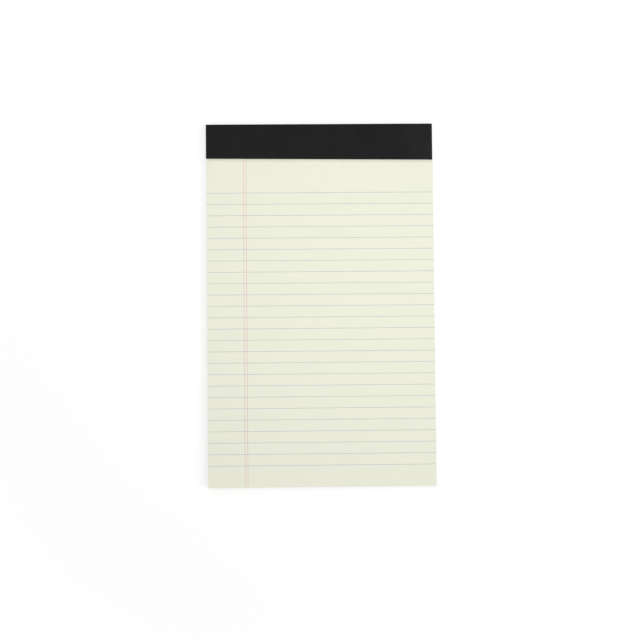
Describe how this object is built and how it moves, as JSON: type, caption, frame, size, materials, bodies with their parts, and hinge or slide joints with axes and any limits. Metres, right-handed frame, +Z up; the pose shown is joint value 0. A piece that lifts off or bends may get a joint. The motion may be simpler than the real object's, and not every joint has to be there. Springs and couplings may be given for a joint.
{
  "type": "legal pad",
  "caption": "Top-bound ruled writing pad: perforated sheets with a double margin line on a chipboard back, stapled under a folded strip of black tape.",
  "frame": {"origin": "middle of the footprint, on the surface that the pad lies on", "axes": "+X to the reader's right across the front sheet, +Y up the sheet to the taped end, +Z up out of the front sheet"},
  "size_m": [0.1274, 0.2034, 0.0055],
  "materials": {
    "ivory_paper": "matt uncoated",
    "grey_chipboard": "matt",
    "black_tape": "satin, fine grain",
    "staple_wire": "bright wire",
    "blue_ink": "matt print",
    "red_ink": "matt print"
  },
  "bodies": {
    "root": {"sheet_block": "ivory_paper", "backing_board": "grey_chipboard", "binding_tape": "black_tape", "staples": "staple_wire", "feint_ruling": "blue_ink", "margin_ruling": "red_ink"}
  },
  "joints": []
}
